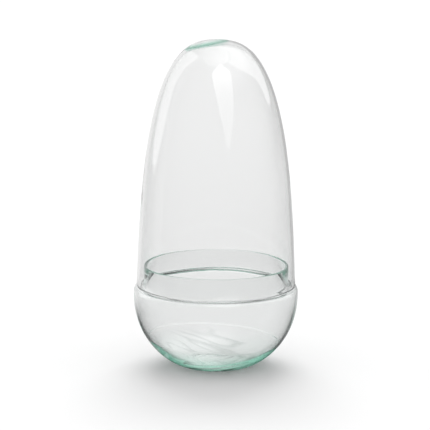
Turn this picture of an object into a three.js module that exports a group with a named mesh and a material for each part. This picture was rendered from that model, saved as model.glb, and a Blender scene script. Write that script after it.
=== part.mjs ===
// Glass cloche: a tall blown-glass dome that stands on the shoulder of a round-bottomed glass bowl,
// around the bowl's upright collar. Two loose pieces of clear, slightly green soda-lime glass.
// Millimetres, +Z up. The origin is the centre of the bowl's foot, on the surface it stands on.
import * as THREE from 'three';

const SEGMENTS = 60; // flats round each piece
const ARC_STEPS = 4; // straight steps in a rounded rim, fillet or shoulder
const SIDE_STEPS = 13; // straight steps in a wall's long curve
const MIDDLE_STEPS = 4; // straight steps across the risen middle of a bottom
const TOUCH_GAP = 0.3; // gap left where the dome stands on the shoulder

// Bowl: foot, belly, shoulder and collar, all one piece of glass
const FOOT_RADIUS = 32.5; // outside of the flat ring it stands on
const FOOT_HOLLOW_RADIUS = 24; // inside of that ring
const FOOT_HOLLOW_DEPTH = 2; // the middle of the foot is pushed up by this much
const BELLY_RADIUS = 90; // widest place of the whole object
const BELLY_HEIGHT = 82; // height of the widest place
const BELLY_POWERS = { height: 2.18, radius: 1.55 }; // how square and how pointed its curve is
const SHOULDER_HEIGHT = 90; // the dome's lower edge stands here
const SHOULDER_FLAT_RADIUS = 86.2; // the shoulder rolls over outside this radius
const COLLAR_RADIUS = 79.2; // outside of the collar
const COLLAR_TOP = 113;
const COLLAR_FILLET = 3; // outside corner between collar and shoulder
const COLLAR_WALL = 2.6;
const BELLY_WALL = 2.4;
const LIP_HEIGHT = 29; // a small lip round the inside of the belly
const LIP_STEP = 1; // the inside is wider by this much below the lip
const FLOOR_WALL = 5.2; // the glass gathers thick in the bottom
const FLOOR_RADIUS = 32; // the inside floor is nearly flat within this radius

// Dome: tall rounded hood, closed at the crown and open below
const DOME_RADIUS = 87.1; // outside, at the lower edge
const DOME_HEIGHT = 271;
const DOME_TAPER = 0.122; // how much narrower the straight taper alone makes the crown
const DOME_POWERS = { height: 3.14, radius: 2.8 };
const DOME_WALL = 2.6;
const CROWN_WALL = 5; // the glass gathers thick at the crown

// Clear glass with a faint green tint
const GLASS = { color: 0xe4efea, roughness: 0.03, metalness: 0, transparent: true, opacity: 0.35 };

// The share of the full radius at a share of the way from the widest place to the end of a wall
function roundedShare(share, powers) {
  return (1 - share ** powers.height) ** (1 / powers.radius);
}

// How far along a wall its next point lies, in steps that give the rounded end an even spread
function wallShare(step, powers) {
  return 1 - (1 - step / SIDE_STEPS) ** powers.radius;
}

// Points on part of an ellipse in the section, with angles in degrees from the outward direction
function arc(centreRadius, centreHeight, radiusOut, radiusUp, startAngle, endAngle) {
  const points = [];
  for (let step = 0; step <= ARC_STEPS; step += 1) {
    const angle = THREE.MathUtils.degToRad(startAngle + ((endAngle - startAngle) * step) / ARC_STEPS);
    const radius = centreRadius + radiusOut * Math.cos(angle);
    points.push(new THREE.Vector2(radius, centreHeight + radiusUp * Math.sin(angle)));
  }
  return points;
}

// Points along a gentle rise from zero slope on the axis to zero slope at the given radius
function risenMiddle(radius, height) {
  const points = [];
  for (let step = 0; step <= MIDDLE_STEPS; step += 1) {
    const share = step / MIDDLE_STEPS;
    const lift = (FOOT_HOLLOW_DEPTH * (1 + Math.cos(Math.PI * share))) / 2;
    points.push(new THREE.Vector2(radius * share, height + lift));
  }
  return points;
}

// Points down a belly wall, from the widest place to the edge of its flat bottom
function bellySide(widestRadius, bottomRadius, bottomHeight) {
  const points = [];
  for (let step = 1; step <= SIDE_STEPS; step += 1) {
    const share = wallShare(step, BELLY_POWERS);
    const bulge = (widestRadius - bottomRadius) * roundedShare(share, BELLY_POWERS);
    const height = BELLY_HEIGHT - (BELLY_HEIGHT - bottomHeight) * share;
    points.push(new THREE.Vector2(bottomRadius + bulge, height));
  }
  return points;
}

// The inside of the belly, from the widest place down, with the small step under its lip
function bellyInside() {
  const points = [];
  let above = true;
  for (const point of bellySide(BELLY_RADIUS - BELLY_WALL, FLOOR_RADIUS, FLOOR_WALL)) {
    if (above && point.y < LIP_HEIGHT) {
      const lip = points[points.length - 1];
      points.push(new THREE.Vector2(lip.x + LIP_STEP, lip.y - LIP_STEP));
      above = false;
    }
    const step = above || point.y === FLOOR_WALL ? 0 : LIP_STEP;
    points.push(new THREE.Vector2(point.x + step, point.y));
  }
  return points;
}

function bowlSection() {
  const shoulder = SHOULDER_HEIGHT - TOUCH_GAP;
  const filletRadius = COLLAR_RADIUS + COLLAR_FILLET;
  const filletHeight = shoulder + COLLAR_FILLET;
  const collarInside = COLLAR_RADIUS - COLLAR_WALL;
  const rim = COLLAR_WALL / 2;
  const shoulderReach = BELLY_RADIUS - SHOULDER_FLAT_RADIUS;
  const insideRise = shoulder - BELLY_WALL - BELLY_HEIGHT;
  return [
    ...risenMiddle(FOOT_HOLLOW_RADIUS, 0),
    ...bellySide(BELLY_RADIUS, FOOT_RADIUS, 0).reverse(),
    ...arc(SHOULDER_FLAT_RADIUS, BELLY_HEIGHT, shoulderReach, shoulder - BELLY_HEIGHT, 0, 90),
    ...arc(filletRadius, filletHeight, COLLAR_FILLET, COLLAR_FILLET, 270, 180),
    ...arc(COLLAR_RADIUS - rim, COLLAR_TOP - rim, rim, rim, 0, 180),
    ...arc(filletRadius, filletHeight, filletRadius - collarInside, COLLAR_FILLET + BELLY_WALL, 180, 270),
    ...arc(SHOULDER_FLAT_RADIUS - BELLY_WALL, BELLY_HEIGHT, shoulderReach, insideRise, 90, 0),
    ...bellyInside(),
    ...risenMiddle(FLOOR_RADIUS, FLOOR_WALL).reverse().slice(1),
  ];
}

// Points up a dome wall, from just above the rounded lower edge to the top on the axis
function domeSide(radius, height) {
  const startShare = DOME_WALL / 2 / height;
  const points = [];
  for (let step = 0; step <= SIDE_STEPS; step += 1) {
    const share = startShare + (1 - startShare) * wallShare(step, DOME_POWERS);
    const taper = 1 - DOME_TAPER * share;
    points.push(new THREE.Vector2(radius * taper * roundedShare(share, DOME_POWERS), height * share));
  }
  return points;
}

function domeSection() {
  const edge = DOME_WALL / 2;
  const section = [
    ...domeSide(DOME_RADIUS - DOME_WALL, DOME_HEIGHT - CROWN_WALL).reverse(),
    ...arc(DOME_RADIUS - edge, edge, edge, edge, 180, 360).slice(1, -1),
    ...domeSide(DOME_RADIUS, DOME_HEIGHT),
  ];
  return section.map((point) => new THREE.Vector2(point.x, point.y + SHOULDER_HEIGHT));
}

// A piece of clear glass turned from its section, with its axis along +Z
function blownGlass(name, section) {
  const geometry = new THREE.LatheGeometry(section, SEGMENTS);
  geometry.rotateX(Math.PI / 2);
  const glass = new THREE.MeshStandardMaterial(GLASS);
  const mesh = new THREE.Mesh(geometry, glass);
  mesh.name = name;
  return mesh;
}

const cloche = new THREE.Group();
cloche.add(blownGlass('bowl', bowlSection()));
cloche.add(blownGlass('dome', domeSection()));

export default cloche;
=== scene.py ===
import math

import bpy
from mathutils import Matrix, Vector, noise


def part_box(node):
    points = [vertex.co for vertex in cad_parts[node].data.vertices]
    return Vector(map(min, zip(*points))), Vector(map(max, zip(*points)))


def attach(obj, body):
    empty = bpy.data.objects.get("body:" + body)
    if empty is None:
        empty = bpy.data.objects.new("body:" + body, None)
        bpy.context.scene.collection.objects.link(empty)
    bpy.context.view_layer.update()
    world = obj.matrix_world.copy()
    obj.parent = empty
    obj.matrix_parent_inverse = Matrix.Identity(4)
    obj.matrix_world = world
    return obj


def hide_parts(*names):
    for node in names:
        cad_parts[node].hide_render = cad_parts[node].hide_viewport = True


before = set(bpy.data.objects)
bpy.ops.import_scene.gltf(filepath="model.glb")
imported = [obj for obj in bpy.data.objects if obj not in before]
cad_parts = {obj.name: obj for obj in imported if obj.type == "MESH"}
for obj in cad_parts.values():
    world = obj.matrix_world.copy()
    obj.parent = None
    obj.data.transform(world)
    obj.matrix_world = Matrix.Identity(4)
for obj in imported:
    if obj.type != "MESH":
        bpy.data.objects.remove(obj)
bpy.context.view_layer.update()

# All lengths are metres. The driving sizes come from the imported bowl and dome.
_, bowl_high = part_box("bowl")
dome_low, dome_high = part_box("dome")
BELLY_RADIUS = bowl_high.x
COLLAR_TOP = bowl_high.z
SHOULDER_HEIGHT = dome_low.z
DOME_RADIUS = dome_high.x
DOME_TOP = dome_high.z

SEGMENTS = 256           # points round each piece
ARC_STEPS = 12           # steps in a rounded rim, fillet or shoulder
FLOOR_STEPS = 32         # steps from the axis to the edge of a nearly flat bottom
SIDE_STEPS = 84          # steps in a wall's long curve
ON_AXIS = 1e-7           # a point nearer the axis than this lies on it

# Bowl: the same outline as in the CAD model
BELLY_HEIGHT = 0.082            # height of the widest place
BELLY_POWERS = (2.18, 1.55)     # how square and how pointed the belly's curve is
FOOT_RADIUS = 0.0325            # outside of the flat ring it stands on
FOOT_HOLLOW_RADIUS = 0.024      # inside of that ring
FOOT_HOLLOW_DEPTH = 0.002       # the middle of the bottom is pushed up by this much
SHOULDER_FLAT_RADIUS = 0.0862   # the shoulder rolls over outside this radius
COLLAR_RADIUS = 0.0792
COLLAR_FILLET = 0.003           # outside corner between collar and shoulder
COLLAR_WALL = 0.0026
BELLY_WALL = 0.0024
FLOOR_WALL = 0.0045             # the glass gathers thick in the bottom
FLOOR_RADIUS = 0.02             # the inside floor is nearly flat within this radius
TOUCH_GAP = 0.0002              # gap left where the dome stands on the shoulder

# The lip round the inside of the belly
LIP_HEIGHT = 0.029
LIP_STEP = 0.0015               # the inside is wider by this much below the lip
LIP_RUN = 0.0008                # height over which it widens
LIP_TILT = 0.05                 # slope of the lip down to the right
LIP_TILT_TOP = 2 * LIP_HEIGHT   # the slope has faded out this high up
LIP_FADE = (-0.3, 0.2)          # y over radius where the lip is gone, and where it is whole

# Dome: the same outline as in the CAD model, with a flat, slanted ceiling of thick glass inside
DOME_TAPER = 0.122              # how much narrower the straight taper alone makes the crown
DOME_POWERS = (3.14, 2.8)
DOME_WALL = 0.0026
CROWN_WALL = 0.0027             # depth of the ceiling below the top, on the axis
CROWN_TILT = math.radians(12)   # up to the right
CROWN_LEAN = math.radians(6)    # up to the front
CROWN_BLEND = 0.002             # rounding between ceiling and wall

# Waves in the walls
WAVE_LENGTH = 0.05
WAVE_DEPTH = 0.00015
BOWL_INSIDE_WAVES, DOME_OUTSIDE_WAVES, DOME_INSIDE_WAVES = 1, 2, 3  # shifts along the noise

# Twisted folds in the bowl's floor
SWIRL_RADIUS = 0.06
SWIRL_DEPTH = 0.0008
SWIRL_TURN = 3.0                # radians that the folds turn from the rim of the swirl to its middle
SWIRL_LENGTHS = (0.025, 0.01)   # along and across a fold

# Painted shade: grey streaks put into the bowl's colour, standing in for the darker lines that such
# folds show
STREAK_TURN = 1.5               # radians that they turn from the belly's side to the axis
STREAK_LENGTHS = (0.05, 0.012)  # along and across a fold
STREAK_WIDTH = 0.2              # how far the noise may be from zero for a streak to show
STREAK_FADE = (0.029, 0.02)     # heights between which they come in, going down
PATCH_LEVEL = 0.5               # the streaks come and go in patches
PATCH_CONTRAST = 2
PATCH_SCALE = 0.7
PATCH_PLACE = Vector((9, 5, 2))

# Where the glass shows green
GATHER_HEIGHT = 0.03            # up the outside of the bowl
CROWN_FADE = 0.004              # above the crown's ceiling


def clamped(share):
    """The share, kept between 0 and 1."""
    return min(1.0, max(0.0, share))


def eased_share(value, start, end):
    """0 before the start, 1 after the end, and a smooth step between them."""
    share = clamped((value - start) / (end - start))
    return share * share * (3 - 2 * share)


def rounded_share(share, powers):
    """The share of the full radius at a share of the way to the end of a wall."""
    return max(0.0, 1 - share ** powers[0]) ** (1 / powers[1])


def even_share(step, powers):
    """How far along a wall its next point lies, close together at the rounded end."""
    return 1 - (1 - step / SIDE_STEPS) ** powers[1]


def arc(centre, radii, start, end):
    """Points on part of an ellipse in the section, angles in degrees from outward."""
    points = []
    for step in range(ARC_STEPS + 1):
        angle = math.radians(start + (end - start) * step / ARC_STEPS)
        radius = centre[0] + radii[0] * math.cos(angle)
        points.append((radius, centre[1] + radii[1] * math.sin(angle)))
    return points


def risen_middle(radius, height):
    """Points from the axis out along a bottom that rises gently to its middle."""
    points = []
    for step in range(FLOOR_STEPS + 1):
        share = step / FLOOR_STEPS
        rise = FOOT_HOLLOW_DEPTH * (1 + math.cos(math.pi * share)) / 2
        points.append((radius * share, height + rise))
    return points


def belly_side():
    """Points down the belly's outside, from the widest place to the edge of the foot."""
    points = []
    for step in range(1, SIDE_STEPS + 1):
        share = even_share(step, BELLY_POWERS)
        bulge = (BELLY_RADIUS - FOOT_RADIUS) * rounded_share(share, BELLY_POWERS)
        points.append((FOOT_RADIUS + bulge, BELLY_HEIGHT - BELLY_HEIGHT * share))
    return points


def inset(points, wall):
    """The same curve moved inwards by the wall's thickness, square to the curve, with its last point
    on the axis. The wall is negative for a curve that runs down."""
    moved = []
    for index, (radius, height) in enumerate(points):
        before = points[max(index - 1, 0)]
        after = points[min(index + 1, len(points) - 1)]
        along = Vector((after[0] - before[0], after[1] - before[1])).normalized()
        moved.append((max(radius - wall * along.y, 0.0), height + wall * along.x))
    moved[-1] = (0.0, points[-1][1] - wall)
    return moved


def thick_bottom(side):
    """The bowl's inside below its widest place. The wall is thin down to the level of the lip,
    and thickens from there to the floor."""
    points = []
    for radius, height in inset(side, -BELLY_WALL)[:-1]:
        below = clamped((LIP_HEIGHT - height) / LIP_HEIGHT)
        points.append((radius, height + (FLOOR_WALL - BELLY_WALL) * below))
    return [point for point in points if point[0] > FLOOR_RADIUS]


def bowl_runs():
    """The bowl's outside from the foot's middle up to the collar's rim, and its inside back down.
    Each run of points comes with whether it is the inside."""
    shoulder = SHOULDER_HEIGHT - TOUCH_GAP
    corner = (COLLAR_RADIUS + COLLAR_FILLET, shoulder + COLLAR_FILLET)
    collar_inside = COLLAR_RADIUS - COLLAR_WALL
    rim = COLLAR_WALL / 2
    reach = BELLY_RADIUS - SHOULDER_FLAT_RADIUS
    inside_rise = shoulder - BELLY_WALL - BELLY_HEIGHT
    side = belly_side()
    bottom = thick_bottom(side)
    outside = (
        risen_middle(FOOT_HOLLOW_RADIUS, 0)
        + side[::-1]
        + arc((SHOULDER_FLAT_RADIUS, BELLY_HEIGHT), (reach, shoulder - BELLY_HEIGHT), 0, 90)
        + arc(corner, (COLLAR_FILLET, COLLAR_FILLET), 270, 180)
        + arc((COLLAR_RADIUS - rim, COLLAR_TOP - rim), (rim, rim), 0, 180)
    )
    inside = (
        arc(corner, (corner[0] - collar_inside, COLLAR_FILLET + BELLY_WALL), 180, 270)
        + arc((BELLY_RADIUS - BELLY_WALL - reach, BELLY_HEIGHT), (reach, inside_rise), 90, 0)
        + bottom
        + risen_middle(*bottom[-1])[::-1][1:]
    )
    return [(outside, False), (inside, True)]


def dome_side():
    """Points up the dome's outside, from the rounded lower edge to the top on the axis."""
    height = DOME_TOP - SHOULDER_HEIGHT
    start = DOME_WALL / 2 / height
    points = []
    for step in range(SIDE_STEPS + 1):
        share = start + (1 - start) * even_share(step, DOME_POWERS)
        reach = DOME_RADIUS * (1 - DOME_TAPER * share) * rounded_share(share, DOME_POWERS)
        points.append((reach, SHOULDER_HEIGHT + height * share))
    return points


def dome_runs():
    """The dome's inside from the axis down to its edge, and its edge and outside back up.
    Each run of points comes with whether it is the inside."""
    edge = DOME_WALL / 2
    outside = dome_side()
    inside = inset(outside, DOME_WALL)[::-1]
    rim = arc((DOME_RADIUS - edge, SHOULDER_HEIGHT + edge), (edge, edge), 180, 360)[1:-1]
    return [(inside, True), (rim + outside, False)]


def soft_min(first, second, blend):
    """The smaller of two numbers, with the corner between them rounded over the blend."""
    near = max(blend - abs(first - second), 0.0) / blend
    return min(first, second) - near * near * blend / 4


def wave(point, shift):
    """Slow unevenness of a hand-blown wall, along the radius."""
    depth = WAVE_DEPTH * noise.noise(point / WAVE_LENGTH + Vector((shift, 0, 0)))
    out = Vector((point.x, point.y, 0))
    if out.length > 0:
        out.normalize()
    return out * depth


def swirl(point):
    """Height of the twisted folds that stay in the thick glass of the bowl's floor."""
    reach = math.hypot(point.x, point.y)
    if reach > SWIRL_RADIUS:
        return 0.0
    share = 1 - reach / SWIRL_RADIUS
    fold = Matrix.Rotation(SWIRL_TURN * share, 2) @ Vector((point.x, point.y))
    depth = noise.noise(Vector((fold.x / SWIRL_LENGTHS[0], fold.y / SWIRL_LENGTHS[1], 0)))
    return SWIRL_DEPTH * depth * math.sqrt(share)


def crown_ceiling(point):
    """Height of the slanted flat underside of the thick glass in the dome's crown."""
    return DOME_TOP - CROWN_WALL + math.tan(CROWN_TILT) * point.x - math.tan(CROWN_LEAN) * point.y


def fold_shade(point, is_inside):
    """How much painted shade, as thin grey streaks, the bowl's colour gets where the twisted folds in
    its bottom would show darker.
    """
    share = eased_share(point.z, *STREAK_FADE)
    if not is_inside or share == 0:
        return 0.0
    turn = STREAK_TURN * (1 - math.hypot(point.x, point.y) / BELLY_RADIUS)
    fold = Matrix.Rotation(turn, 2) @ Vector((point.x, point.y))
    length, width = STREAK_LENGTHS
    where = Vector((fold.x / length, fold.y / width, point.z / width))
    line = clamped(1 - abs(noise.noise(where)) / STREAK_WIDTH)
    patch = PATCH_LEVEL + PATCH_CONTRAST * noise.noise(where * PATCH_SCALE + PATCH_PLACE)
    return share * line * clamped(patch)


def bowl_gather(point, is_inside):
    """How much the green shows: on the outside of the lowest part of the bowl."""
    if is_inside:
        return 0.0
    return clamped(1 - point.z / GATHER_HEIGHT)


def crown_gather(point, is_inside):
    """How much the green shows: just above the crown's slanted ceiling, and less up to the top."""
    above = point.z - crown_ceiling(point)
    if is_inside or above < 0:
        return 0.0
    return clamped(1 - above / CROWN_FADE)


def belly_radius(height):
    """Radius of the belly's outside at a height below its widest place."""
    share = (BELLY_HEIGHT - height) / BELLY_HEIGHT
    return FOOT_RADIUS + (BELLY_RADIUS - FOOT_RADIUS) * rounded_share(share, BELLY_POWERS)


def bend_bowl(point, is_inside):
    """The bowl's inside waves, its floor is folded, and its lip slants down to the right."""
    if not is_inside:
        return point
    radius = math.hypot(point.x, point.y)
    if point.z < LIP_TILT_TOP and radius > FLOOR_RADIUS:
        share = eased_share(point.z, FLOOR_WALL, LIP_HEIGHT)
        share *= eased_share(point.z, LIP_TILT_TOP, LIP_HEIGHT)
        height = point.z - LIP_TILT * point.x * share
        step = LIP_STEP * eased_share(LIP_HEIGHT - point.z, 0, LIP_RUN)
        step *= eased_share(point.y / radius, *LIP_FADE)
        moved = radius + belly_radius(height) - belly_radius(point.z) + step
        point = Vector((point.x * moved / radius, point.y * moved / radius, height))
    return point + wave(point, BOWL_INSIDE_WAVES) + Vector((0, 0, swirl(point)))


def bend_dome(point, is_inside):
    """The dome waves on both sides, and its crown has a slanted ceiling inside."""
    if not is_inside:
        return point + wave(point, DOME_OUTSIDE_WAVES)
    height = soft_min(point.z, crown_ceiling(point), CROWN_BLEND)
    return Vector((point.x, point.y, height)) + wave(point, DOME_INSIDE_WAVES)


def turned(name, runs, bend, gather):
    """A smooth closed mesh turned from a section, in two runs of points that start and end on the
    axis. bend moves each point, and gather says how much green it shows."""
    verts = []
    rings = []
    gathers = []
    fold_shades = []
    for run, is_inside in runs:
        for radius, height in run:
            count = 1 if radius < ON_AXIS else SEGMENTS
            rings.append((len(verts), count))
            for turn in range(count):
                angle = 2 * math.pi * turn / SEGMENTS
                point = Vector((radius * math.cos(angle), radius * math.sin(angle), height))
                verts.append(bend(point, is_inside))
                gathers.append(gather(verts[-1], is_inside))
                # painted shade of the folds, kept at each point
                fold_shades.append(fold_shade(verts[-1], is_inside))
    faces = []
    for (low, low_count), (high, high_count) in zip(rings, rings[1:]):
        for turn in range(SEGMENTS):
            after = (turn + 1) % SEGMENTS
            if low_count == 1:
                faces.append((low, high + after, high + turn))
            elif high_count == 1:
                faces.append((low + turn, low + after, high))
            else:
                faces.append((low + turn, low + after, high + after, high + turn))
    mesh = bpy.data.meshes.new(name)
    mesh.from_pydata(verts, [], faces)
    mesh.shade_smooth()
    mesh.attributes.new("gather", "FLOAT", "POINT").data.foreach_set("value", gathers)
    # the painted fold shade goes on the mesh as an attribute
    mesh.attributes.new("fold_shade", "FLOAT", "POINT").data.foreach_set("value", fold_shades)
    mesh.update()
    piece = bpy.data.objects.new(name, mesh)
    bpy.context.scene.collection.objects.link(piece)
    return piece


# Node helpers, shared by the glass and the studio
def eased(nodes, links, value, start, end, low=0.0, high=1.0):
    """A smooth step from low to high as the value goes from start to end."""
    ease = nodes.new("ShaderNodeMapRange")
    ease.interpolation_type = "SMOOTHSTEP"
    ease.inputs["From Min"].default_value = start
    ease.inputs["From Max"].default_value = end
    ease.inputs["To Min"].default_value = low
    ease.inputs["To Max"].default_value = high
    links.new(value, ease.inputs["Value"])
    return ease.outputs["Result"]


def product(nodes, links, first, second):
    """One value times the other."""
    times = nodes.new("ShaderNodeMath")
    times.operation = "MULTIPLY"
    links.new(first, times.inputs[0])
    links.new(second, times.inputs[1])
    return times.outputs["Value"]


def grey(level):
    """The grey of a level, as a colour."""
    return (level, level, level, 1)


def ramp_colour(nodes, links, value, stops):
    """The colour that a value has between the stops."""
    colours = nodes.new("ShaderNodeValToRGB")
    ramp = colours.color_ramp
    ramp.elements.remove(ramp.elements[1])
    for index, (position, colour) in enumerate(stops):
        stop = ramp.elements[0] if index == 0 else ramp.elements.new(position)
        stop.position = position
        stop.color = colour
    links.new(value, colours.inputs["Fac"])
    return colours.outputs["Color"]


def blended(nodes, links, share, first, second):
    """A colour that goes from the first to the second. Either one is an output or a fixed colour."""
    mix = nodes.new("ShaderNodeMix")
    mix.data_type = "RGBA"
    links.new(share, mix.inputs["Factor"])
    for side, colour in (("A", first), ("B", second)):
        if isinstance(colour, tuple):
            mix.inputs[side].default_value = colour
        else:
            links.new(colour, mix.inputs[side])
    return mix.outputs["Result"]


def mixed(nodes, links, share, first, second):
    """A shader that goes from the first to the second."""
    mix = nodes.new("ShaderNodeMixShader")
    links.new(share, mix.inputs["Fac"])
    links.new(first, mix.inputs[1])
    links.new(second, mix.inputs[2])
    return mix.outputs["Shader"]


# Glass
GLASS_IOR = 1.5
GLASS_TINT = (0.25, 0.78, 0.62, 1)
BOWL_DENSITY = 5.5
DOME_DENSITY = 1.5
RIPPLE_SCALE = 90.0
RIPPLE_STRENGTH = 0.03
RIPPLE_DISTANCE = 0.001
HAZE = 0.03
HAZE_RANGE = (0.4, 0.8)  # values of the ripple between which the haze comes in
CLEAR = (1, 1, 1, 1)
# painted shade that the fold streaks mix into the bowl's colour
FOLD_SHADE_GREY = (0.65, 0.68, 0.67, 1)
BOWL_GATHER = [(0.0, CLEAR), (0.5, (0.25, 0.8, 0.6, 1)), (1.0, (0.0, 0.45, 0.25, 1))]
CROWN_GATHER = [(0.0, CLEAR), (0.4, (0.6, 0.84, 0.75, 1)), (1.0, (0.08, 0.38, 0.26, 1))]
GATHER_EDGE = 1.2        # how closely the bowl's green keeps to its edges


def own_value(nodes, name):
    """A value that the piece's mesh carries at its points."""
    own = nodes.new("ShaderNodeAttribute")
    own.attribute_name = name
    return own.outputs["Fac"]


def at_edges(nodes, links, colour):
    """The colour where the glass is seen along its surface, and clear where it is seen squarely."""
    weight = nodes.new("ShaderNodeLayerWeight")
    power = nodes.new("ShaderNodeMath")
    power.operation = "POWER"
    power.inputs[1].default_value = GATHER_EDGE
    links.new(weight.outputs["Facing"], power.inputs[0])
    return blended(nodes, links, power.outputs["Value"], CLEAR, colour)


def glass(name, density, gather, edges_only):
    """Clear blown glass: tinted by its depth, greener where it gathers, faintly rippled and hazed,
    with thin grey streaks of painted shade in its colour where the mesh carries them.
    """
    material = bpy.data.materials.new(name)
    material.use_nodes = True
    nodes, links = material.node_tree.nodes, material.node_tree.links
    shader = nodes["Principled BSDF"]
    shader.inputs["IOR"].default_value = GLASS_IOR
    shader.inputs["Transmission Weight"].default_value = 1.0
    colour = ramp_colour(nodes, links, own_value(nodes, "gather"), gather)
    if edges_only:
        colour = at_edges(nodes, links, colour)
    # painted shade: the grey fold streaks
    colour = blended(nodes, links, own_value(nodes, "fold_shade"), colour, FOLD_SHADE_GREY)
    links.new(colour, shader.inputs["Base Color"])
    where = nodes.new("ShaderNodeTexCoord")
    ripple = nodes.new("ShaderNodeTexNoise")
    ripple.inputs["Scale"].default_value = RIPPLE_SCALE
    links.new(where.outputs["Object"], ripple.inputs["Vector"])
    haze = nodes.new("ShaderNodeMapRange")
    haze.inputs["From Min"].default_value = HAZE_RANGE[0]
    haze.inputs["From Max"].default_value = HAZE_RANGE[1]
    haze.inputs["To Max"].default_value = HAZE
    links.new(ripple.outputs["Fac"], haze.inputs["Value"])
    links.new(haze.outputs["Result"], shader.inputs["Roughness"])
    bump = nodes.new("ShaderNodeBump")
    bump.inputs["Strength"].default_value = RIPPLE_STRENGTH
    bump.inputs["Distance"].default_value = RIPPLE_DISTANCE
    links.new(ripple.outputs["Fac"], bump.inputs["Height"])
    links.new(bump.outputs["Normal"], shader.inputs["Normal"])
    absorb = nodes.new("ShaderNodeVolumeAbsorption")
    absorb.inputs["Color"].default_value = GLASS_TINT
    absorb.inputs["Density"].default_value = density
    links.new(absorb.outputs["Volume"], nodes["Material Output"].inputs["Volume"])
    return material


def place(piece, node, body, material):
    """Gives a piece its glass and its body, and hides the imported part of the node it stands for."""
    piece.data.materials.append(material)
    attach(piece, body)
    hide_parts(node)


bowl_glass = glass("bowl_glass", BOWL_DENSITY, BOWL_GATHER, True)
dome_glass = glass("dome_glass", DOME_DENSITY, CROWN_GATHER, False)
bowl = turned("bowl_glass", bowl_runs(), bend_bowl, bowl_gather)
dome = turned("dome_glass", dome_runs(), bend_dome, crown_gather)
place(bowl, "bowl", "bowl", bowl_glass)
place(dome, "dome", "dome", dome_glass)

# Camera: a long lens that looks down by CAMERA_PITCH at AIM
CAMERA_DISTANCE = 4.178
CAMERA_PITCH = math.radians(11.65)
CAMERA_ROLL = math.radians(0.35)
CAMERA_LENS = 319.8      # millimetres, as is the sensor
CAMERA_SENSOR = 36.0
AIM = Vector((-0.00137, 0.0, 0.1678))


def make_camera():
    """The scene's camera, in front of the piece and a little above it."""
    data = bpy.data.cameras.new("camera")
    data.lens = CAMERA_LENS
    data.sensor_width = CAMERA_SENSOR
    camera = bpy.data.objects.new("camera", data)
    back = Vector((0, -math.cos(CAMERA_PITCH), math.sin(CAMERA_PITCH)))
    camera.location = AIM + CAMERA_DISTANCE * back
    look = (AIM - camera.location).to_track_quat("-Z", "Y").to_matrix()
    camera.rotation_euler = (look @ Matrix.Rotation(CAMERA_ROLL, 3, "Z")).to_euler()
    bpy.context.scene.collection.objects.link(camera)
    bpy.context.scene.camera = camera


# Studio. The glass mirrors a dim room with a few soft lights, and everything else sees white.
# Azimuths and elevations are in degrees. Azimuth 0 is the camera's side, and right is positive.
# An edge goes by the X or Z of a direction, from where the change starts to where it is complete.
FIRST_AZIMUTH = -90             # where the round of ROOM_LEVELS starts
ROOM_LEVELS = [                 # azimuths, and grey levels of the mirrored room's wall there
    (-90, 0.08), (-70, 0.0), (70, 0.0), (96, 0.1), (116, 0.22), (130, 0.38),
    (150, 0.45), (175, 0.5), (185, 0.85), (210, 0.8), (225, 0.6), (244, 0.35),
]
LOW_EDGE = (-0.2, -0.34)        # Z: below the wall the room has the LOW_LEVEL
LOW_LEVEL = 0.03
TABLE_EDGE = (-0.6, -0.85)      # Z: further down it has a white table
TABLE_SIDE = (0.4, -0.2)        # X: on its left side only
CEILING_EDGE = (0.85, 0.95)     # Z: right above it has the CEILING_LEVEL
CEILING_LEVEL = 0.8
DEEP_RANGE = (2, 4)             # between so many reflections a ray comes to see less
DEEP_SHARE = 0.4                # the share that it still sees after them
AMBIENT = 0.88                  # strength of the white studio where it lights the floor
SUN_ENERGY = 1.5
SUN_ANGLE = math.radians(45)
SUN_TILT = math.radians(40)
FLOOR_REACH = 12.0              # from the middle of the floor to each of its sides
FLOOR_GREY = 0.85
FLOOR_DROP = 0.0002             # gap between the floor and the foot
# painted light on the floor seen through glass, with painted shade near the piece
GLOW_LEVELS = (0.92, 1.0)       # of the floor seen through glass, near the piece and far from it
GLOW_REACH = (0.3, 1.6)         # distances from the origin that count as near and far
GLOW_SHARE = 0.8                # the rest of what is seen there is the lit floor
LIGHT_DISTANCE = 8.0            # of the soft lights from LIGHT_CENTRE, the middle of the dome
LIGHT_CENTRE = Vector((0, 0, 0.24))
LOOP_STEPS = 6                  # steps from one corner of a soft light to the next
LIGHT_BOUNCES = 64

# Corners of the soft lights' outlines: azimuth and elevation
FRONT_CORNERS = [
    (14, 67), (-14, 53), (-8, 38), (4, 23), (11, 16),
    (19, 8), (27, 13), (35, 24), (40, 40), (42, 53),
]
LEFT_CORNERS = [
    (-120, 54), (-102, 53), (-105, 30), (-108, 18), (-106, 8),
    (-111, -1), (-121, -4), (-135, 0), (-150, 30),
]
BACK_RIGHT_CORNERS = [
    (170, 68), (174, 40), (156, 34), (142, 16), (130, 6), (118, 8),
    (111, 17), (104, 25), (85, 39), (66, 54), (60, 75),
]
BACK_TOP_CORNERS = [(150, 18), (180, 15), (210, 18), (215, 40), (180, 52), (145, 40)]
SOFT_LIGHTS = [  # name, corners, strengths at the lower and upper end, most walls it shows through
    ("front_light", FRONT_CORNERS, (0.6, 1.7), 2),
    ("left_light", LEFT_CORNERS, (1.3, 1.3), 2),
    ("back_right_light", BACK_RIGHT_CORNERS, (1.3, 1.0), 2),
    ("back_top_light", BACK_TOP_CORNERS, (0.8, 0.8), 4),
]


def mirrored_share(nodes, links):
    """How much a ray sees of what the glass mirrors: nothing if it hasn't been mirrored, all of it
    at first, and less after many times."""
    path = nodes.new("ShaderNodeLightPath")
    mirrored = eased(nodes, links, path.outputs["Glossy Depth"], 0, 1)
    deep = eased(nodes, links, path.outputs["Glossy Depth"], *DEEP_RANGE, 1.0, DEEP_SHARE)
    return product(nodes, links, mirrored, deep)


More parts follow.
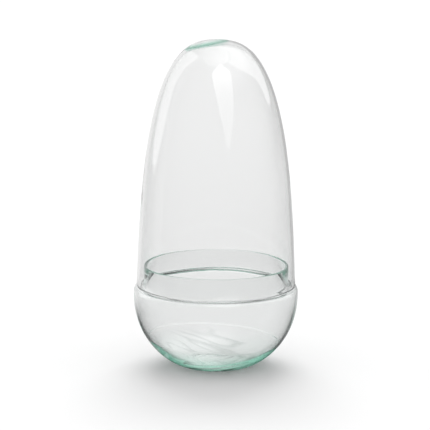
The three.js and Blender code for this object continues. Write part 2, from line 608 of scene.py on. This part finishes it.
def room_colour(nodes, links):
    """The mirrored room: dim, brighter at the back left, with a light ceiling and a white table."""
    way = nodes.new("ShaderNodeTexCoord").outputs["Generated"]
    azimuth = nodes.new("ShaderNodeTexGradient")
    azimuth.gradient_type = "RADIAL"
    links.new(way, azimuth.inputs["Vector"])
    split = nodes.new("ShaderNodeSeparateXYZ")
    links.new(way, split.inputs["Vector"])
    across, up = split.outputs["X"], split.outputs["Z"]
    stops = [((turn - FIRST_AZIMUTH) / 360, grey(level)) for turn, level in ROOM_LEVELS]
    wall = ramp_colour(nodes, links, azimuth.outputs["Fac"], stops)
    low = blended(nodes, links, eased(nodes, links, up, *LOW_EDGE), wall, grey(LOW_LEVEL))
    table_height = eased(nodes, links, up, *TABLE_EDGE)
    table_side = eased(nodes, links, across, *TABLE_SIDE)
    table_share = product(nodes, links, table_height, table_side)
    table = blended(nodes, links, table_share, low, grey(1.0))
    return blended(nodes, links, eased(nodes, links, up, *CEILING_EDGE), table, grey(CEILING_LEVEL))


def make_world():
    """A white studio. What the glass mirrors is a dim room, except in the light on the floor."""
    world = bpy.data.worlds.new("studio")
    world.use_nodes = True
    bpy.context.scene.world = world
    nodes, links = world.node_tree.nodes, world.node_tree.links
    path = nodes.new("ShaderNodeLightPath")
    white = nodes["Background"]
    white.inputs["Color"].default_value = grey(1)
    strength = eased(nodes, links, path.outputs["Is Diffuse Ray"], 0, 1, 1.0, AMBIENT)
    links.new(strength, white.inputs["Strength"])
    room = nodes.new("ShaderNodeBackground")
    links.new(room_colour(nodes, links), room.inputs["Color"])
    not_from_floor = eased(nodes, links, path.outputs["Diffuse Depth"], 0, 1, 1.0, 0.0)
    share = product(nodes, links, mirrored_share(nodes, links), not_from_floor)
    both = mixed(nodes, links, share, white.outputs["Background"], room.outputs["Background"])
    links.new(both, nodes["World Output"].inputs["Surface"])


def stage_object(name, points, face):
    """A flat stage object of one face, with a material that has no shader yet."""
    mesh = bpy.data.meshes.new(name)
    mesh.from_pydata(points, [], [face])
    thing = bpy.data.objects.new(name, mesh)
    bpy.context.scene.collection.objects.link(thing)
    material = bpy.data.materials.new(name)
    material.use_nodes = True
    nodes = material.node_tree.nodes
    nodes.remove(nodes["Principled BSDF"])
    mesh.materials.append(material)
    return thing, nodes, material.node_tree.links


def make_floor():
    """Pale paper. Seen through the glass it is mostly a glow of painted light, dimmed near the piece
    as painted shade, and the glass doesn't mirror it.
    """
    sides = ((-1, -1), (1, -1), (1, 1), (-1, 1))
    corners = [(x * FLOOR_REACH, y * FLOOR_REACH, -FLOOR_DROP) for x, y in sides]
    _, nodes, links = stage_object("floor", corners, (0, 1, 2, 3))
    paper = nodes.new("ShaderNodeBsdfDiffuse")
    paper.inputs["Color"].default_value = grey(FLOOR_GREY)
    where = nodes.new("ShaderNodeNewGeometry")
    reach = nodes.new("ShaderNodeVectorMath")
    reach.operation = "LENGTH"
    links.new(where.outputs["Position"], reach.inputs[0])
    glow = nodes.new("ShaderNodeEmission")
    # the glow is painted light, dimmer near the piece as painted shade
    glow_level = eased(nodes, links, reach.outputs["Value"], *GLOW_REACH, *GLOW_LEVELS)
    links.new(glow_level, glow.inputs["Strength"])
    path = nodes.new("ShaderNodeLightPath")
    through = eased(nodes, links, path.outputs["Is Transmission Ray"], 0, 1, 0.0, GLOW_SHARE)
    seen = mixed(nodes, links, through, paper.outputs["BSDF"], glow.outputs["Emission"])
    clear = nodes.new("ShaderNodeBsdfTransparent")
    surface = mixed(nodes, links, mirrored_share(nodes, links), seen, clear.outputs["BSDF"])
    links.new(surface, nodes["Material Output"].inputs["Surface"])


def make_sun():
    """A wide bank of light above and behind, which casts the shadow. The glass neither passes nor
    mirrors it."""
    data = bpy.data.lights.new("overhead", "SUN")
    data.energy = SUN_ENERGY
    data.angle = SUN_ANGLE
    sun = bpy.data.objects.new("overhead", data)
    sun.rotation_euler = (-SUN_TILT, 0, 0)
    sun.visible_transmission = False
    sun.visible_glossy = False
    bpy.context.scene.collection.objects.link(sun)


def smooth_loop(corners):
    """Points on a smooth closed curve through the corners."""
    points = []
    count = len(corners)
    for index in range(count):
        before, here, after, beyond = (Vector(corners[(index + k - 1) % count]) for k in range(4))
        for step in range(LOOP_STEPS):
            share = step / LOOP_STEPS
            slope = (after - before) * share
            curve = (2 * before - 5 * here + 4 * after - beyond) * share ** 2
            twist = (3 * here - before - 3 * after + beyond) * share ** 3
            points.append((2 * here + slope + curve + twist) / 2)
    return points


def direction(azimuth, elevation):
    """The way to an azimuth and an elevation, one metre long."""
    turn, rise = math.radians(azimuth), math.radians(elevation)
    flat = math.cos(rise)
    return Vector((math.sin(turn) * flat, -math.cos(turn) * flat, math.sin(rise)))


def soft_light(name, corners, strengths, most_walls):
    """A soft light that shows only as a reflection, and only through so many walls of glass."""
    points = [LIGHT_CENTRE + LIGHT_DISTANCE * direction(*corner) for corner in smooth_loop(corners)]
    panel, nodes, links = stage_object(name, points, tuple(range(len(points))))
    panel.visible_camera = False
    panel.visible_diffuse = False
    panel.visible_shadow = False
    heights = [point.z for point in points]
    where = nodes.new("ShaderNodeNewGeometry")
    split = nodes.new("ShaderNodeSeparateXYZ")
    links.new(where.outputs["Position"], split.inputs["Vector"])
    light = nodes.new("ShaderNodeEmission")
    strength = eased(nodes, links, split.outputs["Z"], min(heights), max(heights), *strengths)
    links.new(strength, light.inputs["Strength"])
    path = nodes.new("ShaderNodeLightPath")
    walls = path.outputs["Transmission Depth"]
    outer = eased(nodes, links, walls, most_walls, most_walls + 1, 1.0, 0.0)
    share = product(nodes, links, mirrored_share(nodes, links), outer)
    clear = nodes.new("ShaderNodeBsdfTransparent")
    surface = mixed(nodes, links, share, clear.outputs["BSDF"], light.outputs["Emission"])
    links.new(surface, nodes["Material Output"].inputs["Surface"])


make_camera()
make_world()
make_floor()
make_sun()
for name, corners, strengths, most_walls in SOFT_LIGHTS:
    soft_light(name, corners, strengths, most_walls)

scene = bpy.context.scene
scene.view_settings.view_transform = "Standard"
scene.cycles.max_bounces = LIGHT_BOUNCES
scene.cycles.transmission_bounces = LIGHT_BOUNCES
scene.cycles.glossy_bounces = LIGHT_BOUNCES
scene.cycles.use_denoising = True
